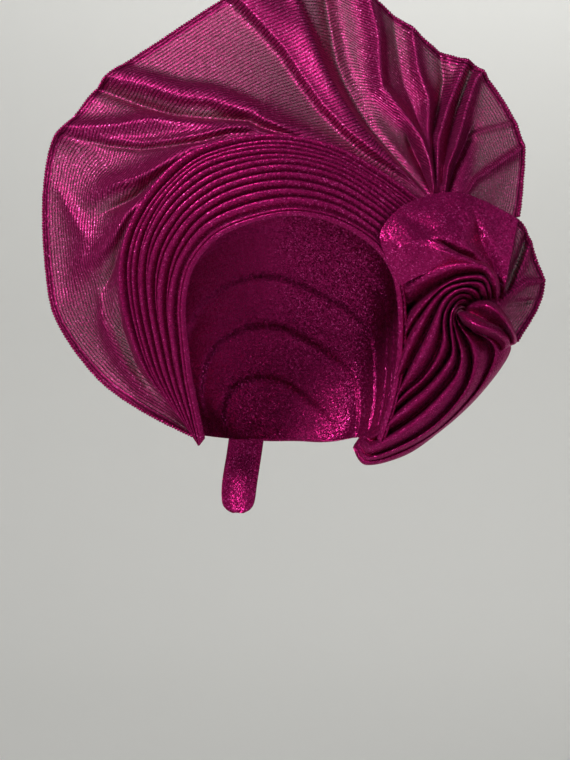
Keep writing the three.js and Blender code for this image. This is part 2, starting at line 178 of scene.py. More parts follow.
# Ribs of the fan: section of the crown that the rib leaves, then x y z of its hem.
FAN = np.array([
    (0, -69, 13, 2),
    (1.3, -106, 16, 21),
    (2.5, -137, 22, 44),
    (3.2, -164, 26, 82),
    (4.2, -172, 28, 117),
    (5.2, -174, 28, 166),
    (6.1, -168, 26, 204),
    (6.8, -154, 24, 220),
    (7.6, -130, 22, 249),
    (8.6, -92, 20, 275),
    (9.75, -49, 16, 302),
    (11.2, -26, 14, 312),
    (12.3, 12, 12, 321),
    (13, 50, 10, 304),
    (13.35, 73, 8, 287),
    (13.65, 100, 6, 265),
    (13.95, 124, 4, 254),
    (14.2, 144, 0, 227),
    (14.45, 155, -4, 199),
    (14.7, 154, -8, 172),
    (15, 151, -12, 150),
], float)

# Folds pressed into the cloth: rise towards the front, half width on the left and on the right of the line,
# share of the rise at its start and end, then the line itself in the front view, from root to hem.
FAN_FOLDS = [
    (7, 9, 3, 0.3, 1,
     [(95, 126), (81, 140), (64, 157), (50, 172), (38, 189), (29, 204), (22, 220), (15, 238), (2, 270)]),
    (9, 3, 21, 0.3, 1,
     [(95, 125), (82, 138), (58, 155), (42, 168), (26, 185), (13, 203), (0, 223), (-15, 240), (-37, 263)]),
    (-9, 6, 5, 0.3, 1,
     [(96, 126), (84, 140), (71, 155), (58, 170), (48, 187), (40, 203), (35, 217), (32, 233), (25, 274)]),
    (11, 7, 4, 0.4, 1,
     [(100, 125), (99, 139), (97, 148), (92, 163), (84, 174), (74, 187), (66, 197), (64, 210),
      (63, 233), (55, 265)]),
    (-7, 2.5, 2.5, 0.6, 0, [(100, 125), (98, 130), (92, 146), (85, 161), (79, 175)]),
    (-4, 4.5, 5.5, 0.3, 1, [(100, 136), (95, 163), (88, 183), (81, 200), (77, 217), (73, 250)]),
    (8, 4, 4, 0.4, 0.7, [(101, 129), (98, 155), (97, 174), (97, 190), (90, 210), (86, 240)]),
    (-7, 4, 3.5, 0.4, 0.6, [(102, 130), (100, 168), (105, 187), (108, 204), (105, 224)]),
    (7, 3.5, 3.5, 0.4, 0.7, [(103, 132), (103, 161), (110, 185), (121, 211), (124, 217)]),
    (-5, 2.5, 2.5, 0.5, 0.7, [(107, 134), (111, 161), (117, 185), (126, 209)]),
    (9, 3, 3.5, 0.5, 0.8, [(108, 128), (110, 145), (115, 157), (123, 185), (129, 203), (135, 209)]),
    (-6, 2.5, 4, 0.7, 0, [(110, 126), (116, 147), (123, 163), (131, 182)]),
    (2.5, 2, 2, 0.2, 1, [(121, 164), (132, 168), (147, 172), (158, 174)]),
    (5, 2.5, 4, 0.5, 1, [(121, 123), (129, 136), (145, 147), (162, 158)]),
    (9, 3.5, 10, 0.2, 0.7,
     [(39, 153), (19, 163), (-7, 172), (-29, 182), (-50, 189), (-71, 191), (-97, 199), (-124, 205)]),
    (-10, 3.5, 3, 0.2, 0.5,
     [(31, 154), (5, 164), (-16, 172), (-25, 177), (-56, 178), (-75, 180), (-97, 187), (-127, 198)]),
    (9, 8, 5, 0.2, 0.8,
     [(10, 161), (-25, 172), (-70, 176), (-92, 176), (-112, 172), (-126, 171), (-154, 171)]),
    (-4.5, 1.8, 1.8, 0.3, 0.3,
     [(-24, 167), (-37, 167), (-56, 162), (-78, 159), (-97, 157), (-119, 159), (-150, 166)]),
    (3.5, 2.5, 3, 0.3, 0.3,
     [(-24, 170), (-37, 170), (-56, 166), (-78, 162), (-97, 160), (-119, 162), (-142, 167)]),
    (9, 3.5, 7, 0.4, 0,
     [(-47, 161), (-64, 155), (-81, 145), (-100, 136), (-119, 130), (-131, 122), (-139, 114)]),
    (-9, 4, 3, 0.4, 0, [(-58, 152), (-73, 145), (-86, 136), (-102, 125), (-121, 115), (-131, 106)]),
    (8, 3.5, 6, 0.5, 0, [(-89, 129), (-105, 113), (-121, 89), (-132, 77), (-138, 66)]),
    (-7, 4, 3, 0.5, 0, [(-97, 113), (-108, 98), (-115, 80), (-122, 64), (-127, 53)]),
    (4, 7, 7, 0.3, 0.2, [(-154, 130), (-145, 114), (-136, 96), (-139, 75), (-146, 54)]),
    (5, 5, 5, 0.2, 0.3, [(-126, 61), (-123, 39), (-113, 16), (-97, -7), (-74, -26)]),
    (-6, 4, 4, 0.2, 0.2, [(-113, 61), (-111, 37), (-101, 9), (-85, -12)]),
]
SHELL_FOLDS = [
    (-9, 2.2, 1.2, 0.1, 1,
     [(99.5, 96), (108.5, 93), (118.5, 87.5), (129, 83.5), (133.5, 80), (140.5, 73), (144.5, 66),
      (146.5, 58)]),
    (-3, 8, 2, 0.1, 1, [(99.5, 96), (108.5, 93), (118.5, 87.5), (129, 83.5), (133.5, 80), (140.5, 73)]),
    (4, 3, 4, 0, 1, [(98, 90), (109, 86.5), (121, 82), (131, 77.5), (137.5, 71), (141, 62)]),
    (-8, 3.5, 8, 0.2, 1,
     [(129, 113), (131, 106), (133.5, 96), (137.5, 88), (142, 80), (145, 71), (147, 61)]),
    (-4, 9, 9, 0.4, 0, [(84, 110), (95, 105), (106, 97)]),
    (3, 9, 9, 0.4, 0.4, [(76, 94), (82, 86), (88, 78)]),
]
FLARE_FOLDS = [
    (3, 2, 2, 1, 0.6, [(157, 107), (154, 95), (150, 80), (147, 66)]),
    (-5, 3, 3, 0.4, 0.8, [(165, 104), (161, 88), (155, 73), (151, 60)]),
    (3.5, 2.5, 2.5, 0.6, 0.8, [(167, 95), (162, 80), (155, 66), (150, 58)]),
    (4.5, 2, 3.5, 0.7, 0.8, [(174, 67), (163, 66), (153, 59), (147, 54)]),
    (-3.5, 3, 3, 0.3, 0.6, [(170, 54), (161, 53), (151, 52)]),
]

# Fold lines of the rosette: outer end x y z, with aim in degrees and reach of its guide, inner end x z, with
# heading in degrees and sweep of its guide, and the depth that the line comes forward to.
SHELL = np.array([
    (69, -53.2, 101, 35, 20, 128, 101.5, -78, 20, -72),
    (58, -62, 120, 5, 26, 129, 99.5, -76, 24, -75),
    (55, -64.2, 135, -12, 28, 129.5, 98, -76, 28, -75),
    (68, -58, 151, -28, 26, 130.5, 96.5, -76, 28, -72),
    (88, -51, 160, -45, 22, 131, 95, -78, 26, -67),
    (104, -49, 162, -58, 20, 132, 94, -80, 26, -62),
    (116, -45, 160, -66, 20, 133, 93, -84, 24, -57),
    (131, -41, 154, -80, 18, 134, 92, -90, 22, -52),
    (147, -36, 146, -105, 16, 135, 91, -98, 20, -48),
], float)
FLARE = np.array([
    (139, -33, 148, -95, 18, 126, 95, -100, 14, -42),
    (151, -31, 142, -112, 14, 126, 92, -115, 14, -41),
    (161, -24, 119, -150, 14, 125, 89, -140, 14, -42),
    (166, -22, 105, 190, 14, 124, 86, 195, 14, -42),
    (161, -24, 88, 178, 14, 123, 82, 178, 14, -40),
    (147, -30, 66, 110, 10, 122, 78, 150, 10, -36),
], float)
# Gaps between the folds of the nape cloth, in the front view from the band to the knot, top gap first.
DRAPE = np.array([
    [(78, 65), (77, 66), (82, 70), (88, 73), (96.5, 77), (105, 80), (115.5, 82), (125.5, 82), (135, 80),
     (142.5, 73), (146, 63), (146, 50)],
    [(79, 40), (78.5, 42), (83.5, 47), (90, 53.5), (99, 60.5), (108.5, 66), (118, 70), (127, 71.5),
     (134.5, 71), (138.5, 66), (140, 58.5), (140, 49)],
    [(75.5, -2), (74, 0), (78, 16.5), (84, 32), (91.5, 44), (101, 56.5), (110.5, 64), (121, 66.5),
     (129.5, 67), (135.5, 65), (137.5, 57), (137, 49)],
    [(72.5, -20), (71, -19), (79.5, -1.5), (86, 13.5), (94.5, 30.5), (101, 45), (107, 55.5),
     (114.5, 61.5), (123, 63.5), (129.5, 61.5), (133, 56.5), (134, 48)],
    [(71, -23), (69.5, -22.5), (80.5, -9), (93, 2), (102, 15.5), (106, 28.5), (106.5, 42), (110, 51.5),
     (116, 58), (123, 59), (128, 55.5), (131, 48)],
    [(69.5, -28), (68, -28), (82, -15), (96.5, -2.5), (107, 9.5), (113, 21.5), (111, 36), (111.5, 46),
     (115.5, 52), (120, 55.5), (125, 54), (129, 48)],
    [(52, -37), (59, -41.5), (74.5, -34), (91.5, -21.5), (105, -8), (115.5, 6), (118, 19), (114.5, 32),
     (113.5, 42.5), (116.5, 49.5), (121.5, 51), (127, 47)],
    [(49, -41), (56.5, -51.5), (74.5, -46), (95, -34.5), (110.5, -20.5), (121.5, -4.5), (125.5, 12),
     (123, 25), (116.5, 37.5), (115.5, 45), (119.5, 48.5), (126, 45)],
    [(47, -44), (55.5, -55), (78, -49), (100.5, -36.5), (118.5, -20.5), (132.5, -3.5), (140.5, 15.5),
     (137, 26.5), (125.5, 34), (118, 42.5), (119, 46), (126, 43)],
    [(46, -46), (55, -57.5), (81.5, -51), (105, -35), (125.5, -17), (142, 2), (152, 17.5), (151.5, 25),
     (137.5, 29), (121, 38.5), (120, 43), (127, 41)],
], float)
# Depth of each gap at the band, half way and at the knot.
DRAPE_DEPTH = np.array([
    (-29, -63, -57), (5, -62, -57), (13, -60, -56), (21, -56, -56), (22, -50, -56),
    (26, -43, -55), (29, -34, -53), (31, -24, -50), (32, -12, -44), (31, 0, -36),
], float)
# Lines along the rolled bud in the front view: back edge, crest, dip behind the lip, lip, lower roll
# and under edge.
BUD = np.array([
    [(121, 51.5), (127, 54.5), (135, 55.5), (142, 53.5), (147, 48), (152.5, 40), (156.5, 31),
     (157.5, 26)],
    [(122, 49), (128, 50.5), (135.5, 51), (142.5, 48), (147, 43.5), (152, 36.5), (155.5, 29),
     (156, 24.5)],
    [(121.5, 47), (126, 46), (132.5, 43), (137.5, 40), (143, 37.5), (148.5, 34.5), (152.5, 29),
     (153.5, 23.5)],
    [(119, 46.5), (123.5, 45), (129.5, 41.5), (135.5, 38.5), (142, 36), (147, 33), (151.5, 28),
     (152, 23)],
    [(117.5, 45.5), (121, 41.5), (127, 37), (133.5, 34.5), (140, 32.5), (145, 30), (148.5, 26),
     (149.5, 21.5)],
    [(117, 45), (119.5, 39.5), (125.5, 34.5), (132.5, 31.5), (138.5, 29), (143, 26.5), (146, 23),
     (146.5, 19.5)],
], float)
# Depth of each line at its start, half way and at its end.
BUD_DEPTH = np.array([
    (-46, -46, -30), (-48, -73, -38), (-49, -56, -35), (-55, -72, -41), (-56, -72, -41), (-40, -20, -8),
], float)

# Sections of the back: place in sections of the band, then x y z of its side, back and nape points.
CAP = np.array([
    (0, -74, 32, 2, -70, 58, 0, -46, 76, -2),
    (4, -110, 34, 95, -88, 100, 42, -34, 83, -4),
    (7, -84, 36, 176, -66, 124, 98, -18, 88, -5),
    (9.3, -12, 40, 208, -8, 138, 132, 0, 90, -5),
    (12, 74, 34, 168, 62, 124, 98, 18, 88, -5),
    (14.5, 79, 24, 80, 76, 98, 42, 34, 83, -4),
    (17, 70, 30, 0, 66, 58, 0, 46, 76, -2),
], float)

# Sections of the tail: share of its length, x, y, half width.
TAIL = np.array([
    (0, -34, 89.2, 13),
    (0.25, -36, 89.4, 13),
    (0.6, -39, 86, 13),
    (0.85, -40, 84, 12),
    (0.95, -40, 83, 9),
    (1, -40, 82.5, 4),
], float)


def eased(before, here, after, ahead, t):
    """Smooth curve from here to after, with a neighbour on both sides to set its slope."""
    slope_a, slope_b = (after - before) / 2, (ahead - here) / 2
    t2, t3 = t * t, t * t * t
    return ((2 * t3 - 3 * t2 + 1) * here + (t3 - 2 * t2 + t) * slope_a
            + (3 * t2 - 2 * t3) * after + (t3 - t2) * slope_b)


def row_before(place, last):
    """Row before each fractional place, at most the last but one."""
    return np.clip(np.floor(place).astype(int), 0, last - 1)


def rows_at(table, place):
    """Rows of a table at fractional places."""
    last = len(table) - 1
    i = row_before(place, last)
    t = (place - i)[..., None]
    return eased(table[np.maximum(i - 1, 0)], table[i], table[i + 1], table[np.minimum(i + 2, last)], t)


def between_lines(lines, place):
    """Points between lines, each point with its own copy of all lines."""
    last = lines.shape[1] - 1
    i = row_before(place, last)
    pick = np.arange(len(place))
    t = (place - i)[:, None]
    return eased(lines[pick, np.maximum(i - 1, 0)], lines[pick, i], lines[pick, i + 1],
                 lines[pick, np.minimum(i + 2, last)], t)


def unit(v):
    """Vectors at a length of one."""
    return v / np.maximum(np.linalg.norm(v, axis=-1, keepdims=True), 1e-9)


def smooth(a, b, x):
    """Soft step from 0 at a to 1 at b."""
    t = np.clip((x - a) / (b - a), 0, 1)
    return t * t * (3 - 2 * t)


def ripple(x, y, seed):
    """Soft irregular waves, mostly between -1 and 1."""
    rng = np.random.default_rng(seed)
    total = np.zeros(np.broadcast(x, y).shape)
    for k in range(6):
        angle, phase = rng.uniform(0, math.tau, 2)
        pitch = rng.uniform(0.6, 1.7)
        total = total + np.sin(pitch * (np.cos(angle) * x + np.sin(angle) * y) + phase)
    return total / 3.2


def inwards(p):
    """Direction towards the middle of the hollow."""
    return unit(HEAD_MIDDLE - p)


def away_from_face(p):
    """Direction from the face edge outwards and back, in which the pleats are stacked."""
    radial = unit((p - FACE_MIDDLE) * np.array([1.0, 0.0, 1.0]))
    return unit(radial * EDGE_OUT + np.array([0.0, EDGE_BACK, 0.0]))


def front_view(p):
    """Where points show in the front view, in millimetres at the depth of the origin."""
    near = -VIEW[1] / (p[:, 1] - VIEW[1])
    return np.stack([(p[:, 0] - VIEW[0]) * near, (p[:, 2] - VIEW[2]) * near], axis=1)


def from_line(seen, line):
    """Distance of points from a line, the side on which they lie and their share of its length."""
    run = np.linalg.norm(np.diff(line, axis=0), axis=1)
    length = run.sum()
    best = np.full(len(seen), np.inf)
    side = np.zeros(len(seen))
    share = np.zeros(len(seen))
    done = 0.0
    for a, b, step in zip(line[:-1], line[1:], run):
        way = (b - a) / step
        off = seen - a
        t = np.clip(off @ way, 0, step)
        gap = np.linalg.norm(off - t[:, None] * way, axis=1)
        turn = way[0] * off[:, 1] - way[1] * off[:, 0]
        nearer = gap < best
        best = np.where(nearer, gap, best)
        side = np.where(nearer, turn, side)
        share = np.where(nearer, (done + t) / length, share)
        done += step
    return best, side, share


def pressed(p, folds):
    """Height of all folds at the points p, towards the front."""
    seen = front_view(p)
    total = np.zeros(len(p))
    for rise, left, right, first, last, line in folds:
        gap, side, share = from_line(seen, np.array(line, float))
        half = np.where(side > 0, left, right) * (0.45 + 0.55 * smooth(0, 0.5, share))
        start_level = first + (1 - first) * smooth(0, 0.3, share)
        end_level = last + (1 - last) * smooth(1, 0.65, share)
        fall = np.where(half > BROAD_FOLD, BROAD_FALL, NARROW_FALL)
        total += rise * (start_level * end_level) * np.exp(-np.power(gap / half, fall))
    return total


def cloth_lay(p, u, v, from_hem):
    """Place of every point on the flat cloth: the way along the edge and the way in from it."""
    order = np.lexsort((u, v))
    rows = len(np.unique(v))
    sheet = p[order].reshape(rows, -1, 3)
    step = np.linalg.norm(np.diff(sheet, axis=0), axis=2)
    inward = np.vstack([np.zeros((1, sheet.shape[1])), np.cumsum(step, axis=0)])
    if from_hem:
        inward = inward[-1] - inward
    edge = sheet[-1 if from_hem else 0]
    along = np.concatenate([[0], np.cumsum(np.linalg.norm(np.diff(edge, axis=0), axis=1))])
    lay = np.empty((len(p), 2))
    lay[order] = np.stack([np.tile(along, rows), inward.ravel()], axis=1)
    return lay


def mark_layers(mesh, u, v, hem, p, layers):
    """Point values that the sheer cloth reads: how closely its layers cover, and where its hem is turned."""
    cover, edging = np.ones(len(p)), np.zeros(len(p))
    if layers:
        facing = np.empty(len(p) * 3)
        mesh.vertex_normals.foreach_get("vector", facing)
        facing = np.maximum(np.abs(facing.reshape(-1, 3)[:, 1]), LEAST_FACING)
        cover = 1 - np.power(SEE_THROUGH, 0.5 * layers(u, v, hem, p) / facing)
        edging = 1 - smooth(*HEM_EDGE, hem)
    for name, values in (("closeness", cover), ("edging", edging)):
        mark = mesh.attributes.new(name, "FLOAT", "POINT")
        mark.data.foreach_set("value", values)


def grid_sheet(name, across, along, shape, layers=None, from_hem=False, thickness=CLOTH):
    """A sheet of cloth: a flat grid whose points are moved to shape(u, v), then given its thickness.

    layers(u, v, hem, p) is how many layers of cloth lie at a point.
    """
    bpy.ops.object.select_all(action="DESELECT")
    bpy.ops.mesh.primitive_grid_add(x_subdivisions=across, y_subdivisions=along, size=1)
    sheet = bpy.context.object
    sheet.name = name
    sheet.data.name = name
    mesh = sheet.data
    flat = np.empty(len(mesh.vertices) * 3)
    mesh.vertices.foreach_get("co", flat)
    flat = flat.reshape(-1, 3)
    u = np.round((flat[:, 0] + 0.5) * across) / across
    v = np.round((flat[:, 1] + 0.5) * along) / along
    p = shape(u, v)
    mesh.vertices.foreach_set("co", (p * MM).ravel())
    mesh.update()
    corner = np.empty(len(mesh.loops), int)
    mesh.loops.foreach_get("vertex_index", corner)
    lay = cloth_lay(p, u, v, from_hem)
    mesh.uv_layers.active.data.foreach_set("uv", (lay * MM)[corner].ravel())
    mark_layers(mesh, u, v, lay[:, 1], p, layers)
    if thickness:
        wall = sheet.modifiers.new("thickness", "SOLIDIFY")
        wall.thickness = thickness * MM
        wall.offset = 0
        bpy.ops.object.modifier_apply(modifier=wall.name)
    bpy.ops.object.shade_smooth()
    return sheet


def edge_roll(name, path):
    """A beaded overlocked edge along a path of points."""
    step = np.linalg.norm(np.diff(path, axis=0), axis=1)
    run = np.concatenate([[0], np.cumsum(step)])
    beads = int(run[-1] / BEAD_PITCH)

    def on_path(way):
        return np.stack([np.interp(way, run, path[:, k]) for k in range(3)], axis=1)

    def shape(u, v):
        way = u * run[-1]
        heading = unit(on_path(np.minimum(way + 1, run[-1])) - on_path(np.maximum(way - 1, 0)))
        side = unit(np.cross(heading, np.array([0.0, 1.0, 0.0])))
        up = np.cross(side, heading)
        turn = v * math.tau
        uneven = 0.1 * ripple(u * beads * 2, 0 * u, 5)
        bead = BEAD_RADIUS * (0.5 + 0.62 * np.abs(np.sin(math.pi * u * beads)) + uneven)
        return on_path(way) + (side * np.cos(turn)[:, None] + up * np.sin(turn)[:, None]) * bead[:, None]

    roll = grid_sheet(name, beads * BEAD_STEPS, BEAD_SIDES, shape, thickness=0)
    bpy.ops.object.mode_set(mode="EDIT")
    bpy.ops.mesh.select_all(action="SELECT")
    bpy.ops.mesh.remove_doubles(threshold=0.00001)
    bpy.ops.mesh.select_all(action="DESELECT")
    bpy.ops.mesh.select_non_manifold()
    bpy.ops.mesh.edge_face_add()
    bpy.ops.mesh.select_all(action="SELECT")
    bpy.ops.mesh.normals_make_consistent(inside=False)
    bpy.ops.object.mode_set(mode="OBJECT")
    return roll


def ropes(share, gap, deep):
    """Round fold between two tight gaps: place across it and height, the gaps lying below zero."""
    turn = math.pi * np.clip((share - gap) / (1 - 2 * gap), 0, 1)
    inside = np.clip(1 - np.minimum(share, 1 - share) / gap, 0, 1)
    across = 0.5 - (0.5 - gap) * np.cos(turn) + np.where(share < 0.5, -gap, gap) * inside
    return across, np.sin(turn) - deep * inside


def face_band_shape(u, v):
    """Two rolled strips along the face edge."""
    place = u * (len(BAND) - 1)
    edge = rows_at(BAND, place)
    strip = np.minimum(np.floor(v * BAND_STRIPS), BAND_STRIPS - 1)
    across, high = ropes(v * BAND_STRIPS - strip, *BAND_GAPS)
    over = (strip + across) / BAND_STRIPS * BAND_WIDTH
    p = edge + away_from_face(edge) * over[:, None]
    lift = high * BAND_RISE + 0.1 * ripple(place * 4, strip * 3, 11)
    return p - inwards(edge) * lift[:, None]


def pleat_edges(place):
    """Edges of the pleats across the crown: on the left the tucked ones narrow under their neighbours."""
    hidden = 0.12 + 0.88 * smooth(3, 8, place)
    widths = [hidden if k in TUCKED_PLEATS else np.ones_like(place) for k in range(PLEATS)]
    widths[-1] = OUTER_PLEAT * np.ones_like(place)
    edges = np.cumsum([np.zeros_like(place), *widths], axis=0)
    return edges / edges[-1]


def crown_facing(place):
    """Direction in which the pleats stand up from the crown."""
    row = rows_at(CROWN, place)
    ahead = rows_at(CROWN, np.minimum(place + 0.2, len(CROWN) - 1))
    behind = rows_at(CROWN, np.maximum(place - 0.2, 0))
    way = (ahead - behind)[:, :3] + (ahead - behind)[:, 3:]
    facing = unit(np.cross(row[:, 3:] - row[:, :3], way))
    return facing * np.sign(np.sum(facing * (row[:, 3:] - HEAD_MIDDLE), axis=1))[:, None]


def crown_shape(u, v):
    """Stack of rope-like pleats between the band and the fan."""
    place = u * (len(CROWN) - 1)
    row = rows_at(CROWN, place)
    edge, ring = row[:, :3], row[:, 3:]
    start = edge + away_from_face(edge) * CROWN_START
    width = np.linalg.norm(ring - start, axis=1)
    pleat = np.minimum(np.floor(v * PLEATS), PLEATS - 1).astype(int)
    across, high = ropes(v * PLEATS - pleat, *PLEAT_GAPS)
    edges = pleat_edges(place)
    pick = np.arange(len(place))
    low, top = edges[pleat, pick], edges[pleat + 1, pick]
    low = low + PLEAT_WANDER * ripple(place * 1.3, pleat * 2.1, 3) * (pleat > 0)
    top = top + PLEAT_WANDER * ripple(place * 1.3, (pleat + 1) * 2.1, 3) * (pleat < PLEATS - 1)
    share = low + (top - low) * across
    p = start + (ring - start) * share[:, None]
    bulge = np.sin(math.pi * share) * CROWN_BULGE * width
    uneven = 1 + 0.12 * ripple(place * 1.7, pleat * 3.7, 8)
    rise = high * (top - low) * width * PLEAT_RISE * uneven
    return p - inwards(ring) * bulge[:, None] + crown_facing(place) * rise[:, None]


def fan_shape(u, v):
    """Sheer flare from the outermost pleat up to its hem, with its long folds."""
    rib = rows_at(FAN, u * (len(FAN) - 1))
    ring = rows_at(ROOT, rib[:, 0])
    hem = rib[:, 1:]
    root = ring + unit(hem - ring) * FAN_START
    p = root + (hem - root) * v[:, None]
    p[:, 1] += FAN_BELLY * np.sin(math.pi * v)
    wave = FAN_WAVE * ripple(u * 44, v * 5, 21) * smooth(0.1, 0.5, v)
    p[:, 1] += wave - pressed(p, FAN_FOLDS) * smooth(0, 0.12, v)
    return p


def fan_layers(u, v, hem, p):
    """Layers of the fan: one, and more at its hem, at its root, at the knot and on its ridges."""
    rib = u * (len(FAN) - 1)
    turned = 1 - smooth(3.5, 5.5, hem)
    gather = smooth(12.4, 13.6, rib) * (1 - smooth(16.1, 16.8, rib)) * (1 - smooth(0.2, 0.9, v))
    root = 1 - smooth(0, 0.15, v)
    ridge = np.clip(pressed(p, FAN_FOLDS), 0, 9) / 9
    return 1 + 1.2 * turned + 1.6 * gather + 0.5 * root + 1.4 * ridge


def flare_layers(u, v, hem, p):
    """Layers of the rosette's corner: one, and more at hem, knot and start and on its ridges."""
    turned = 1 - smooth(3, 5, hem)
    knot = smooth(0.6, 0.9, v)
    start = 1 - smooth(0.02, 0.1, u)
    ridge = np.clip(pressed(p, FLARE_FOLDS), 0, 4) / 4
    return 1 + 1.4 * turned + 1.5 * knot + 1.5 * start + 2 * ridge


def seen_at(place, depth):
    """Points that show at a place of the front view and lie at a depth."""
    near = (depth - VIEW[1]) / -VIEW[1]
    return np.stack([VIEW[0] + place[:, 0] * near, depth, VIEW[2] + place[:, 1] * near], axis=1)


def along_lines(table, v):
    """All lines of a table at the share v of their length."""
    stations = table.transpose(1, 0, 2)
    flat = stations.reshape(len(stations), -1)
    return rows_at(flat, v * (len(stations) - 1)).reshape(len(v), len(table), -1)


def depths_at(table, v):
    """Depth of every line at the share v of its length."""
    start, middle, end = table.T
    v = v[:, None]
    return start * (1 - v) * (1 - 2 * v) + middle * 4 * v * (1 - v) + end * v * (2 * v - 1)


def drape_shape(u, v):
    """Bunch of folds from the nape round to the knot, with a deep gap on each side of a fold."""
    lines, depth = along_lines(DRAPE, v), depths_at(DRAPE_DEPTH, v)
    last = len(DRAPE) - 1
    place = u * last
    i = row_before(place, last)
    pick = np.arange(len(u))
    across, _ = ropes(place - i, *NAPE_SPREAD)
    _, high = ropes(np.power(place - i, FOLD_LEAN), *NAPE_GAPS)
    low, top = lines[pick, i], lines[pick, i + 1]
    width = np.linalg.norm(top - low, axis=1)
    lift = np.minimum(width * 0.5, ROPE_RISE) * high * np.where(i == last - 1, LAST_ROPE, 1)
    lift = lift * (1 + 0.15 * ripple(i * 3.1, v * 7, 43)) + 0.5 * ripple(place * 4, v * 9, 44) * (high > 0)
    lift = lift * smooth(0, 0.16, v) * smooth(1, 0.93, v)
    tuck = KNOT_TUCK * smooth(0.86, 1, v)
    y = depth[pick, i] * (1 - across) + depth[pick, i + 1] * across + tuck
    return seen_at(low + (top - low) * across[:, None], y - lift)


def bud_shape(u, v):
    """Rolled tuck at the centre of the swirl."""
    lines, depth = along_lines(BUD, u), depths_at(BUD_DEPTH, u)
    both = np.concatenate([lines, depth[:, :, None]], axis=2)
    row = between_lines(both, v * (len(BUD) - 1))
    return seen_at(row[:, :2], row[:, 2] + 0.3 * ripple(u * 9, v * 9, 45))


def cubic(start, leave, arrive, end, t):
    """Curve from start to end that leaves and arrives along two guide points."""
    return (start * (1 - t) ** 3 + 3 * leave * t * (1 - t) ** 2
            + 3 * arrive * t * t * (1 - t) + end * t ** 3)


def cap_front(place):
    """Front edge of the back: behind the outermost pleat, then behind the band on the right."""
    last = len(CROWN) - 1
    ring = rows_at(CROWN[:, 3:], np.minimum(place, last))
    ring = ring + inwards(ring) * BACK_UNDER_PLEATS
    edge = rows_at(BAND, place)
    edge = edge + away_from_face(edge) * BACK_START
    edge = edge + inwards(edge) * BACK_UNDER_BAND
    return ring + (edge - ring) * np.clip(place - last, 0, 1)[:, None]


def cap_shape(u, v):
    """Cloth of the back, in broad laps that die out at its rim."""
    place = u * (len(BAND) - 1)
    row = rows_at(CAP, np.interp(place, CAP[:, 0], np.arange(len(CAP))))
    front, side, back, nape = cap_front(place), row[:, 1:4], row[:, 4:7], row[:, 7:10]
    p = cubic(front, side, back, nape, v[:, None])
    turn = place / (len(BAND) - 1)
    lap = BACK_LAPS * v + 1.1 * np.sin(math.pi * turn) - 1.4 * turn + 0.35 * ripple(turn * 9, v * 3, 31)
    lap = lap - np.floor(lap)
    step = np.where(lap < LAP_TURN, np.sin(math.pi / 2 * lap / LAP_TURN), (1 - lap) / (1 - LAP_TURN))
    ends = smooth(0, 0.12, v) * smooth(1, 0.9, v) * smooth(0, 0.08, turn) * smooth(1, 0.92, turn)
    soft = 0.5 * ripple(turn * 14, v * 9, 32) * smooth(0, 0.2, v)
    return p + inwards(p) * (BACK_CLEAR + BACK_FOLD * (1 - step) * ends + soft)[:, None]


def fold_points(table, v):
    """Every fold line of a rosette piece at the share v of its length."""
    x, y, z, aim, reach, end_x, end_z, heading, sweep, fore = table.T
    aim, heading = np.radians(aim), np.radians(heading)
    start = np.stack([x, y, z], axis=1)
    leave = np.stack([x + reach * np.cos(aim), y * 0.4 + fore * 0.6, z + reach * np.sin(aim)], axis=1)
    arrive = np.stack([end_x - sweep * np.cos(heading), fore, end_z - sweep * np.sin(heading)], axis=1)
    end = np.stack([end_x, fore * 0.5 + KNOT_DEPTH * 0.5, end_z], axis=1)
    return cubic(start, leave, arrive, end, v[:, None, None])


def rosette_shape(table, folds, seed, wrinkle):
    """Shape of a rosette piece: a sheet through its fold lines, with its folds pressed in."""
    def shape(u, v):
        place = u * (len(table) - 1)
        p = between_lines(fold_points(table, v), place)
        soft = wrinkle * ripple(place * 2.0, v * 4, seed) * np.sin(math.pi * v)
        p[:, 1] += soft - pressed(p, folds)
        return p

    return shape


def tail_shape(u, v):
    """Short end that hangs from the back."""
    share, middle, depth, half = rows_at(TAIL, v * (len(TAIL) - 1)).T
    wave = TAIL_WAVE * np.sin(math.tau * u) * np.clip(v * 3, 0, 1)
    y = depth + TAIL_CLEAR + wave
    return np.stack([middle + (2 * u - 1) * half, y, TAIL_TOP - TAIL_LENGTH * share], axis=1)


def add_node(tree, kind, inputs=None, **settings):
    """A shader node with its settings, and a value or a link for each of its inputs."""
    node = tree.nodes.new(kind)
    for name, value in settings.items():
        setattr(node, name, value)
    for name, value in (inputs or {}).items():
        if isinstance(value, bpy.types.NodeSocket):
            tree.links.new(value, node.inputs[name])
        else:
            node.inputs[name].default_value = value
    return node


def thread_pattern(tree, lay, ribs):
    """Dark broken threads along the ribs of a single layer: 0 on a thread and 1 between threads."""
    stretch = add_node(tree, "ShaderNodeMapping", {"Vector": lay, "Scale": DASH_SCALE})
    dashes = add_node(tree, "ShaderNodeTexNoise",
                      {"Vector": stretch.outputs["Vector"], "Scale": 1, "Detail": 2})
    broken = add_node(tree, "ShaderNodeMath", {0: dashes.outputs["Fac"], 1: 0.8, 2: ribs},
                      operation="MULTIPLY_ADD")
    threads = add_node(tree, "ShaderNodeMapRange",
                       {"Value": broken.outputs[0], "From Min": 0.45, "From Max": 0.85},
                       interpolation_type="SMOOTHSTEP")
    return threads.outputs["Result"]


def bound_hem(tree, colour):
    """Darker tone in the turned hem of a single layer."""
    edging = add_node(tree, "ShaderNodeAttribute", attribute_name="edging")
    bound = add_node(tree, "ShaderNodeMix", data_type="RGBA", blend_type="MULTIPLY")
    bound.inputs["B"].default_value = HEM_TINT
    tree.links.new(edging.outputs["Fac"], bound.inputs["Factor"])
    tree.links.new(colour, bound.inputs["A"])
    return bound.outputs["Result"]


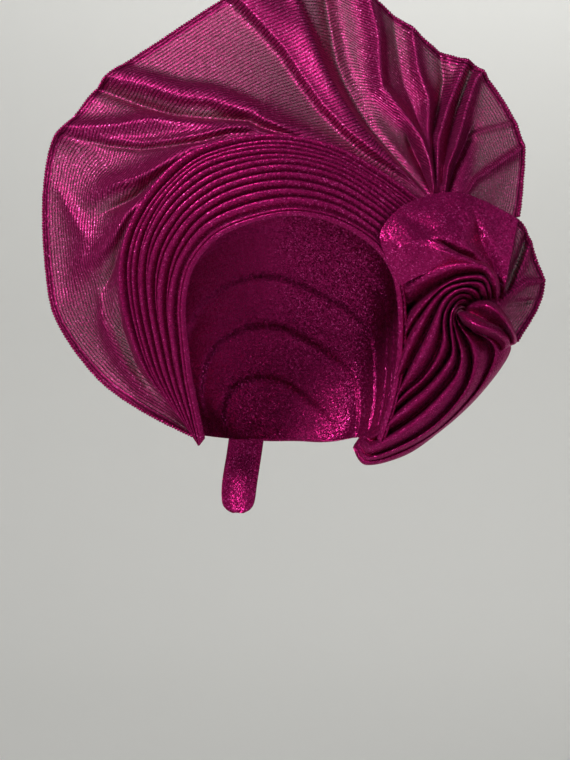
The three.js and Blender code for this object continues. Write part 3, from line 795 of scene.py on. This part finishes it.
def sheer_cover(tree, threads):
    """Opacity of a single layer: more light comes through between its threads."""
    dense = add_node(tree, "ShaderNodeAttribute", attribute_name="closeness")
    opened = add_node(tree, "ShaderNodeMath", {0: 1.0, 1: dense.outputs["Fac"]}, operation="SUBTRACT")
    gaps = add_node(tree, "ShaderNodeMapRange", {"Value": threads, "To Min": 0.6, "To Max": 1.2})
    passed = add_node(tree, "ShaderNodeMath", {0: opened.outputs[0], 1: gaps.outputs["Result"]},
                      operation="MULTIPLY")
    cover = add_node(tree, "ShaderNodeMath", {0: 1.0, 1: passed.outputs[0]}, operation="SUBTRACT",
                     use_clamp=True)
    return cover.outputs[0]


def glinting_normal(tree, speckle, tilt, bump):
    """Surface direction with every speck of metallic thread tilted its own way."""
    own_way = add_node(tree, "ShaderNodeVectorMath", {0: speckle, 1: (0.5, 0.5, 0.5)}, operation="SUBTRACT")
    flake = add_node(tree, "ShaderNodeVectorMath", {0: own_way.outputs["Vector"], 1: tilt, 2: bump},
                     operation="MULTIPLY_ADD")
    facing = add_node(tree, "ShaderNodeVectorMath", {0: flake.outputs["Vector"]}, operation="NORMALIZE")
    return facing.outputs["Vector"]


def metallic_cloth(name, sheer):
    """Magenta cloth woven with metallic thread: ribs along the hem, a fine speckle whose palest specks are
    painted glints, and specks tilted to catch glints.
    """
    material = bpy.data.materials.new(name)
    material.use_nodes = True
    tree = material.node_tree
    shader = tree.nodes["Principled BSDF"]
    for socket, value in CLOTH_SHADER.items():
        shader.inputs[socket].default_value = value
    lay = add_node(tree, "ShaderNodeUVMap", uv_map="UVMap").outputs["UV"]
    place = add_node(tree, "ShaderNodeTexCoord").outputs["Object"]
    ribs = add_node(tree, "ShaderNodeTexWave", wave_type="BANDS", bands_direction="Y", inputs={
        "Vector": lay, "Scale": WAVE_PERIOD / (RIB_PITCH * MM),
        "Distortion": 2.2, "Detail": 2, "Detail Scale": 1.5})
    specks = add_node(tree, "ShaderNodeTexVoronoi", {"Vector": place, "Scale": SPECKLE_SCALE})
    speckle = specks.outputs["Color"]
    grain = add_node(tree, "ShaderNodeSeparateColor", {"Color": speckle})

    # Tone of each speck; the palest tone is a painted glint.
    tone = add_node(tree, "ShaderNodeValToRGB", {"Fac": grain.outputs["Red"]})
    ramp = tone.color_ramp
    for position, _ in SPECK_TONES_AND_PAINTED_GLINT[1:-1]:
        ramp.elements.new(position)
    for element, (position, colour) in zip(ramp.elements, SPECK_TONES_AND_PAINTED_GLINT):
        element.position = position
        element.color = colour if sheer else np.multiply(colour, DEEPER)
    shade = add_node(tree, "ShaderNodeMix", data_type="RGBA", blend_type="MULTIPLY")
    tree.links.new(tone.outputs["Color"], shade.inputs["A"])
    if sheer:
        threads = thread_pattern(tree, lay, ribs.outputs["Fac"])
        shade.inputs["Factor"].default_value = SHEER_THREADS
        tree.links.new(threads, shade.inputs["B"])
        tree.links.new(bound_hem(tree, shade.outputs["Result"]), shader.inputs["Base Color"])
        tree.links.new(sheer_cover(tree, threads), shader.inputs["Alpha"])
    else:
        shade.inputs["Factor"].default_value = FOLDED_THREADS
        tree.links.new(ribs.outputs["Color"], shade.inputs["B"])
        tree.links.new(shade.outputs["Result"], shader.inputs["Base Color"])

    least, most = SHEER_ROUGHNESS if sheer else FOLDED_ROUGHNESS
    rough = add_node(tree, "ShaderNodeMapRange",
                     {"Value": grain.outputs["Green"], "To Min": least, "To Max": most})
    tree.links.new(rough.outputs["Result"], shader.inputs["Roughness"])
    height = add_node(tree, "ShaderNodeMath", {0: grain.outputs["Blue"], 1: 0.6}, operation="MULTIPLY_ADD")
    if sheer:
        tree.links.new(ribs.outputs["Fac"], height.inputs[2])
    bump = add_node(tree, "ShaderNodeBump", {
        "Height": height.outputs[0], "Strength": SHEER_BUMP if sheer else FOLDED_BUMP,
        "Distance": BUMP_HEIGHT})
    tilt = SHEER_TILT if sheer else FOLDED_TILT
    tree.links.new(glinting_normal(tree, speckle, tilt, bump.outputs["Normal"]), shader.inputs["Normal"])
    return material


def plain(name, colour, rough):
    """Material of one even colour."""
    material = bpy.data.materials.new(name)
    material.use_nodes = True
    shader = material.node_tree.nodes["Principled BSDF"]
    shader.inputs["Base Color"].default_value = (*colour, 1)
    shader.inputs["Roughness"].default_value = rough
    return material


def dress(piece, material, node=None):
    """Give a piece its material and body, and hide the node that it replaces."""
    piece.data.materials.clear()
    piece.data.materials.append(material)
    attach(piece, "root")
    if node:
        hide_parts(node)


# Camera at the photograph's place: level, one metre in front of the origin and a little above it.
camera_data = bpy.data.cameras.new("camera")
camera = bpy.data.objects.new("camera", camera_data)
bpy.context.scene.collection.objects.link(camera)
camera.location = VIEW * MM
camera.rotation_euler = (math.pi / 2, 0, 0)
camera_data.lens = FOCAL / PICTURE_HEIGHT * SENSOR
camera_data.sensor_width = SENSOR
bpy.context.scene.camera = camera

folded = metallic_cloth("folded_cloth", False)
sheer = metallic_cloth("sheer_cloth", True)

face_band = grid_sheet("face_band_strips", 260, 20, face_band_shape)
dress(face_band, folded, "face_band")
crown = grid_sheet("crown_pleat_stack", 250, PLEATS * PLEAT_STEPS, crown_shape)
dress(crown, folded, "crown_pleats")
fan = grid_sheet("fan_sheet", 440, 110, fan_shape, fan_layers, from_hem=True)
dress(fan, sheer, "fan")
back_cap = grid_sheet("back_wrap", 200, 150, cap_shape)
dress(back_cap, folded, "back_cap")
shell_shape = rosette_shape(SHELL, SHELL_FOLDS, 41, 0.4)
shell = grid_sheet("rosette_panel", 160, 100, shell_shape)
dress(shell, folded, "rosette_shell")
flare_shape = rosette_shape(FLARE, FLARE_FOLDS, 42, 0.4)
flare = grid_sheet("rosette_corner", 140, 70, flare_shape, flare_layers)
dress(flare, sheer, "rosette_flare")
drape = grid_sheet("nape_folds", (len(DRAPE) - 1) * ROPE_STEPS, 130, drape_shape)
dress(drape, folded, "side_drape")
bud = grid_sheet("swirl_tuck", 90, 90, bud_shape)
dress(bud, folded, "knot_bud")
tail = grid_sheet("tail_end", 40, 60, tail_shape)
dress(tail, folded, "tie_tail")

hem_u = np.linspace(0, 1, HEM_POINTS)
fan_hem = edge_roll("fan_hem_beads", fan_shape(hem_u, np.ones_like(hem_u)))
dress(fan_hem, folded)
flare_hem = edge_roll("corner_hem_beads", flare_shape(hem_u, np.zeros_like(hem_u)))
dress(flare_hem, folded)

# Round pale floor that curves up into a wall on all sides.
bpy.ops.object.select_all(action="DESELECT")
bpy.ops.mesh.primitive_grid_add(x_subdivisions=96, y_subdivisions=40, size=1)
floor = bpy.context.object
floor.name = "floor"
floor.data.name = "floor"
for vertex in floor.data.vertices:
    turn, run = (vertex.co.x + 0.5) * math.tau, vertex.co.y + 0.5
    bend = min(max((run - CURVE_START) / (WALL_START - CURVE_START), 0), 1) * math.pi / 2
    radius = min(run / CURVE_START, 1) * FLOOR_RADIUS + FLOOR_CURVE * math.sin(bend)
    up_wall = max(run - WALL_START, 0) / (1 - WALL_START) * WALL_HEIGHT
    height = FLOOR_LEVEL + FLOOR_CURVE * (1 - math.cos(bend)) + up_wall
    vertex.co = (radius * math.cos(turn), radius * math.sin(turn), height)
bpy.ops.object.mode_set(mode="EDIT")
bpy.ops.mesh.select_all(action="SELECT")
bpy.ops.mesh.remove_doubles(threshold=0.0001)
bpy.ops.mesh.normals_make_consistent(inside=True)
bpy.ops.object.mode_set(mode="OBJECT")
bpy.ops.object.shade_smooth()
floor.data.materials.append(plain("pale_stage", (0.80, 0.80, 0.785), 0.9))


def soft_light(name, place, target, size, power, tint):
    """Rectangular area light that points at a target."""
    light_data = bpy.data.lights.new(name, "AREA")
    light_data.shape = "RECTANGLE"
    light_data.size, light_data.size_y = size
    light_data.energy = power
    light_data.color = tint
    light = bpy.data.objects.new(name, light_data)
    bpy.context.scene.collection.objects.link(light)
    light.location = place
    way = np.array(target) - np.array(place)
    tip, swing = math.atan2(math.hypot(way[0], way[1]), -way[2]), math.atan2(-way[0], way[1])
    light.rotation_euler = (tip, 0, swing)


soft_light("key", (-0.9, -1.2, 0.85), (0, 0, 0.12), (0.45, 0.45), 30, (1, 0.985, 0.96))
soft_light("fill", (1.3, -1.1, 0.5), (0.05, 0, 0.1), (1.0, 1.2), 4.5, (0.97, 0.98, 1))
soft_light("wall", (0.5, 1.8, 2.0), (0.5, 3.0, 0.9), (2.4, 0.4), 21, (1, 1, 0.98))

world = bpy.data.worlds.new("studio")
bpy.context.scene.world = world
world.use_nodes = True
world.node_tree.nodes["Background"].inputs["Color"].default_value = (0.97, 0.98, 1.0, 1)
world.node_tree.nodes["Background"].inputs["Strength"].default_value = 0.1
bpy.context.scene.view_settings.view_transform = "Standard"
